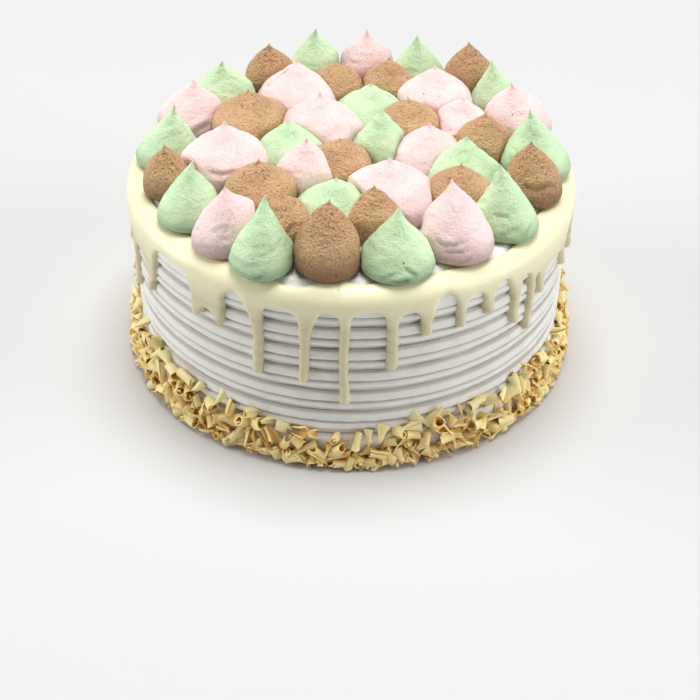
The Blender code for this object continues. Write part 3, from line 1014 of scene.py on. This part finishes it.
def dollop_points(dollop, draw):
    """Rings of points from the foot up, the share of the height of each ring, and the tip."""
    body = np.linspace(-SUNK_FOOT / dollop["height"], TIP_FROM, RINGS)
    tip = TIP_FROM + (1 - TIP_FROM) * np.linspace(0.1, 0.97, TIP_RINGS)
    share = np.concatenate([body, tip])
    turn = np.linspace(0, 2 * math.pi, COLUMNS, endpoint=False)
    share, turn = np.meshgrid(share, turn, indexing="ij")
    unit = np.stack([np.cos(turn), np.sin(turn)], -1)
    drift = dollop["lean"] * np.clip(share, 0, None)[..., None] ** 2
    hook = np.array([draw.uniform(-1, 1), draw.uniform(-1, 1)]) * HOOK
    hooked = np.clip((share - HOOK_FROM) / (1 - HOOK_FROM), 0, 1)
    drift = drift + hook * hooked[..., None] ** 2
    height = dollop["floor"] + share * dollop["height"]

    reach = bare_reach(dollop, share)
    for slump in slumps_of(dollop, draw):
        reach = reach * (1 + slump_swell(turn, share, slump))
    spots = np.concatenate([unit * reach[..., None] + dollop["centre"], height[..., None]], -1)
    reach = reach + skin_relief(dollop, spots, share)
    for fold in folds_of(dollop, draw):
        reach = reach + fold_dip(turn, share * dollop["height"], dollop["radius"], fold)
    reach = np.clip(pressed_back(dollop, reach, unit, drift, height), 0.05 * MM, None)
    place = dollop["centre"] + drift + unit * reach[..., None]
    tip = dollop["centre"] + dollop["lean"] + hook
    tip = np.array([*tip, dollop["floor"] + dollop["height"]])
    return np.concatenate([place, height[..., None]], -1), share, tip


# %% [markdown]
# The three flavours share one recipe of a finish: a soft satin cream with a little glow, fine
# sand, level wrinkles, cloudy changes of colour, and tiny pits where air bubbles burst, darkened
# with painted shade. Cocoa is the driest: its skin is sandy all over, and it tore into crumbs near
# the tip as the nozzle left, with painted shade in the crevices between them. The height on the
# dollop is stored on the mesh, so that the tip can be rougher than the belly, and the foot, where
# little light gets in between neighbours, darker with painted shade. A second mark tells the outer
# dollops from the crowded ones: the outer ones are coloured darker, and sandier where the cream is
# dry.


# %% Cream finish
def cream_finish(name, light, deep, shade, grain_depth, dryness, pit_spacing):
    finish = Finish(
        name,
        Subsurface_Weight=0.25,
        Subsurface_Radius=(1.0, 0.8, 0.6),
        Subsurface_Scale=0.0012,
        Specular_IOR_Level=0.3,
    )
    rise, outer = finish.mark("rise"), finish.mark("outer")
    upper = rise.between(0.5, 0.8)
    foot = rise.between(0.36 + 0.16 * dryness, 0.0)
    level = finish.node("VectorMath", {"operation": "MULTIPLY"}, {0: finish.place, 1: (1, 1, 2.4)})
    clouds = finish.grain(9 * MM, detail=3)
    sand = finish.grain((1.1 - 0.1 * dryness) * MM, detail=3, distortion=0.2)
    wrinkles = finish.grain(4.5 * MM, detail=4, distortion=0.7, place=level)
    crumbs = finish.grain(1.7 * MM, detail=3)
    pits = finish.pits(pit_spacing, 0.5 * MM)
    crevices = crumbs.between(0.44, 0.32) * upper * dryness
    colour = finish.mix(clouds.between(0.25, 0.75) * 0.7, light, deep)
    colour = finish.mix(upper * 0.3 + outer * dryness * 0.5, colour, deep)
    # painted shade at the foot, where neighbours crowd in
    colour = finish.mix(foot * 0.9, colour, shade)
    sandiness = 0.18 + 0.16 * dryness + outer * 0.28 * dryness
    colour = finish.mix(sand.between(0.5, 0.3) * sandiness, colour, shade)
    # painted shade in the pits and in the crevices between crumbs
    painted_pit_shade = tuple(0.5 * c for c in shade)
    colour = finish.mix(pits * 0.75 + crevices * 0.5, colour, painted_pit_shade)
    height = sand * (0.55 + dryness * 1.6) + wrinkles * (0.4 + dryness * 0.3) - pits * 1.6
    height = height + crumbs * upper * dryness * 1.5
    return finish.feed(colour, 0.5 + sand * 0.2, finish.bump(height, grain_depth))


# The light, deep and shaded colours, the depth of the grain, dryness, and the spacing of pits
CREAMS = {
    "mint": ((0.65, 0.83, 0.54), (0.53, 0.74, 0.45), (0.29, 0.42, 0.25), 0.6 * MM, 0.1, 6 * MM),
    "pink": ((0.93, 0.74, 0.72), (0.88, 0.62, 0.62), (0.50, 0.34, 0.33), 0.6 * MM, 0.1, 6 * MM),
    "cocoa": ((0.79, 0.51, 0.29), (0.60, 0.36, 0.185), (0.25, 0.13, 0.06), 0.9 * MM, 1.0, 5 * MM),
}
cream_looks = {flavour: cream_finish(flavour + "_cream", *CREAMS[flavour]) for flavour in CREAMS}

# %% Dollops
for number, dollop in enumerate(dollops):
    points, share, tip = dollop_points(dollop, random.Random(100 + number))
    points, faces = turned_solid(points, (*dollop["centre"], points[0, 0, 2]), tip)
    outer = np.full(len(points), float(not dollop["crowded"]))
    look, slot = cream_looks[dollop["flavour"]], dollop["flavour"] + "_gelato"
    marks = {"rise": np.append(share.ravel(), [0, 1]), "outer": outer}
    piece("piped_" + dollop["name"], points, faces, look, dollop["node"], marks)
print("faces of one dollop:", len(faces))

# %% [markdown]
# ## White chocolate curls
#
# A blade pushed over a block of white chocolate lifts thin shavings, which roll up as they come
# off. Long ones close into tubes and horns, short ones stay open like gutters, and some break into
# pointed shards. All are the same thing: a thin strip, bent. So one function bends a strip round an
# axis, and the kinds differ only in how far it turns and how much narrower it is at its far end.
# Copies placed by an instancer would share a few shapes, and the real ones are all different.

# %% Kinds of curl
# Ranges of turns, radius and length in mm; how narrow the far end is, and how hollow its sides are
CURL_KINDS = {
    "tube": ((1.15, 1.7), (1.4, 2.3), (6, 10), 0.85, 1),
    "horn": ((0.9, 1.3), (2.1, 3.3), (7, 12), 0.15, 1.2),
    "gutter": ((0.5, 0.8), (2.0, 3.1), (5, 9), 0.6, 1),
    "shard": ((0.2, 0.36), (3.6, 5.4), (8, 13), 0.05, 1.5),
}
CURL_SHARES = (0.36, 0.27, 0.17, 0.20)
CURL_AROUND, CURL_ALONG = 15, 6


def bent_strip(draw, kind):
    """The two faces of a shaving, each a grid of points, with its axis along x."""
    turns, radii, lengths, narrow, power = CURL_KINDS[kind]
    turn = draw.uniform(*turns) * 2 * math.pi
    radius = draw.uniform(*radii) * MM
    length = draw.uniform(*lengths) * MM
    wall = draw.uniform(0.4, 0.6) * MM
    slant = draw.uniform(-0.25, 0.25)
    hook = draw.uniform(-2.2, 2.2) * MM
    cup = draw.uniform(-0.1, 0.4)
    unrolled = draw.uniform(0, 0.5)

    around, along = np.meshgrid(
        np.linspace(-0.5, 0.5, CURL_AROUND), np.linspace(0, 1, CURL_ALONG), indexing="ij"
    )
    angle = turn * around
    taper = narrow + (1 - narrow) * (1 - along) ** power
    spread = radius * taper * (1 + unrolled * around)
    spread = spread + 1.15 * wall * turn / (2 * math.pi) * (around + 0.5)
    x = length * ((along - 0.5) * (1 - cup * np.cos(math.pi * around)) + slant * around)
    x = x + 0.4 * MM * np.sin(9 * around + draw.uniform(0, 6)) * (1 - along)
    bend = hook * along**2
    faces = []
    for depth in (0, wall):
        out = spread - depth
        faces.append(np.stack([x, out * np.sin(angle) + bend, out * np.cos(angle)], -1))
    return faces


def strip_solid(outer, inner):
    """Points and faces of the closed solid between two grids."""
    rows, columns = outer.shape[:2]
    face = grid_faces(rows, columns, closed=False)
    number = np.arange(rows * columns).reshape(rows, columns)
    border = np.concatenate([number[0, :-1], number[:-1, -1], number[-1, :0:-1], number[:0:-1, 0]])
    after = np.roll(border, -1)
    step = rows * columns
    rim = np.stack([border, border + step, after + step, after], -1)
    faces = np.vstack([face[:, ::-1], face + step, rim[:, ::-1]])
    return np.vstack([outer.reshape(-1, 3), inner.reshape(-1, 3)]), faces


# %% [markdown]
# The curls are pressed into the soft band at the foot, thickly near the table and thinly above, so
# that white shows between them. The seeded draw takes a place, and drops it when it is too close to
# one already taken. Tubes lie every way, often with a mouth outwards. Shards and horns were
# pressed in by their broad ends, so their points stick out. Nothing sinks below the table.

# %% Places for the curls
CURL_TRIES = 5200
CURL_LIMIT = solid_box[1][0] - 0.3 * MM


def top_of_band(bearing):
    """How high the curls reach at a bearing: higher at the sides than at the front."""
    wave = 2.6 * math.sin(5 * bearing + 1) + 2.0 * math.sin(9 * bearing)
    return (19 + 7 * math.cos(bearing) ** 2 + wave) * MM


def curl_places(draw):
    places = []
    for _ in range(CURL_TRIES):
        bearing = draw.uniform(0, 2 * math.pi)
        share = draw.random() ** 1.3
        height = 2.5 * MM + share * top_of_band(bearing)
        outward = draw.random() ** 1.2 * (1 - share) * 6 * MM
        reach = SIDE_RADIUS + FOOT_BULGE * 0.6 + 1.2 * MM + outward
        spot = Vector((reach * math.cos(bearing), reach * math.sin(bearing), height))
        room = (3.1 + 2.4 * share) * MM
        if all((spot - other[0]).length > room for other in places):
            places.append((spot, bearing))
    return places


def turned_curl(draw, spot, bearing, kind):
    """A curl in its place: its points, how deep in the heap each lies, and its faces."""
    points, faces = strip_solid(*bent_strip(draw, kind))
    points = points + 0.35 * MM * noise(points + draw.random(), 0.0035, 51)[:, None]
    out = Vector((math.cos(bearing), math.sin(bearing), 0))
    along = Vector((-out.y, out.x, 0))
    pointed = kind in ("horn", "shard")
    outward = draw.uniform(0.1, 1.0) if pointed else draw.gauss(0, 0.55)
    upward = draw.gauss(-0.1, 0.5)
    axis = (out * outward + along * draw.gauss(0, 0.8) + Vector((0, 0, upward))).normalized()
    roll = Matrix.Rotation(draw.uniform(0, 2 * math.pi), 3, "X")
    points = points @ np.array(axis.to_track_quat("X", "Z").to_matrix() @ roll).T + np.array(spot)
    points[:, 2] += max(0.25 * MM - points[:, 2].min(), 0)
    radii = np.hypot(points[:, 0], points[:, 1])
    inward = max(radii.max() - CURL_LIMIT, 0)
    points[:, :2] *= 1 - inward / radii.max()
    # how low and tucked in each point is, which sets its painted shade in the finish
    low = 1 - smoothstep(5 * MM, 24 * MM, points[:, 2])
    tucked = 1 - smoothstep(SIDE_RADIUS + 2 * MM, SIDE_RADIUS + 9 * MM, np.hypot(*points[:, :2].T))
    return points, low * tucked, faces


# %% [markdown]
# White chocolate is the colour of butter, waxy and a little see-through at its thin edges. It
# glows where light comes through a wall, so it has more light under the skin than the frosting. The
# hollow side of a curl is darkened with painted shade, and a curl tucked in low under others gets a
# deep orange painted shade that stands in for warm light bounced up from below. The mesh tells
# which side a point is on and how deep it is tucked.


# %% Chocolate finish
def chocolate_finish():
    finish = Finish(
        "white_chocolate",
        Subsurface_Weight=0.35,
        Subsurface_Radius=(1.0, 0.6, 0.2),
        Subsurface_Scale=0.0018,
        Specular_IOR_Level=0.5,
    )
    clouds = finish.grain(6 * MM, detail=2)
    scratches = finish.grain(0.8 * MM, detail=2, distortion=0.5)
    painted_hollow_shade = finish.mark("painted_hollow_shade")
    tucked = finish.mark("tucked")
    colour = finish.mix(clouds.between(0.3, 0.7), (1.0, 0.84, 0.47), (1.0, 0.76, 0.31))
    # painted shade on the hollow side, then a deep orange painted shade with painted bounce light
    # on tucked curls
    colour = finish.mix(painted_hollow_shade * 0.65, colour, (0.85, 0.50, 0.10))
    colour = finish.mix(tucked * 0.6, colour, (0.75, 0.36, 0.03))
    return finish.feed(colour, 0.36 + scratches * 0.15, finish.bump(scratches, 0.08 * MM))


# %% Curls
chocolate_look = chocolate_finish()
draw = random.Random(17)
heaps = {kind: ([], [], []) for kind in CURL_KINDS}
for spot, bearing in curl_places(draw):
    kind = draw.choices(list(CURL_KINDS), CURL_SHARES)[0]
    points, tucked, faces = turned_curl(draw, spot, bearing, kind)
    heap_points, heap_tucked, heap_faces = heaps[kind]
    heap_faces.append(faces + len(heap_points) * len(points))
    heap_points.append(points)
    heap_tucked.append(tucked)
for kind, (heap_points, heap_tucked, heap_faces) in heaps.items():
    points, faces = np.vstack(heap_points), np.vstack(heap_faces)
    # 1 on the inner face of each strip, which the finish darkens with painted shade
    painted_hollow_shade = np.tile(np.repeat([0.0, 1.0], len(heap_points[0]) // 2), len(heap_points))
    marks = {"painted_hollow_shade": painted_hollow_shade, "tucked": np.concatenate(heap_tucked)}
    name = f"chocolate_{kind}s"
    heap = piece(name, points, faces, chocolate_look, "frosted_cake", marks)
    heap.data.set_sharp_from_angle(angle=math.radians(50))
    print(len(heap_points), kind + "s")

# %% [markdown]
# ## The table and the last line
#
# The table is staging and not part of the cake. Its finish is plain and pale.

# %% Table
table_mesh = bpy.data.meshes.new("table")
table_mesh.from_pydata([(-4, -4, 0), (4, -4, 0), (4, 4, 0), (-4, 4, 0)], [], [(0, 1, 2, 3)])
table_finish = Finish("pale_table", Roughness=0.7, Specular_IOR_Level=0.2)
table_finish.shader.inputs["Base Color"].default_value = (0.61, 0.61, 0.61, 1)
table_mesh.materials.append(table_finish.material)
add_object("table", table_mesh)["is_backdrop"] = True

# %% Size, and the end
dressed_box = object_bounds()
for label, box in (("solid", solid_box), ("dressed", dressed_box)):
    print(label, [[round(v / MM, 1) for v in corner] for corner in box])
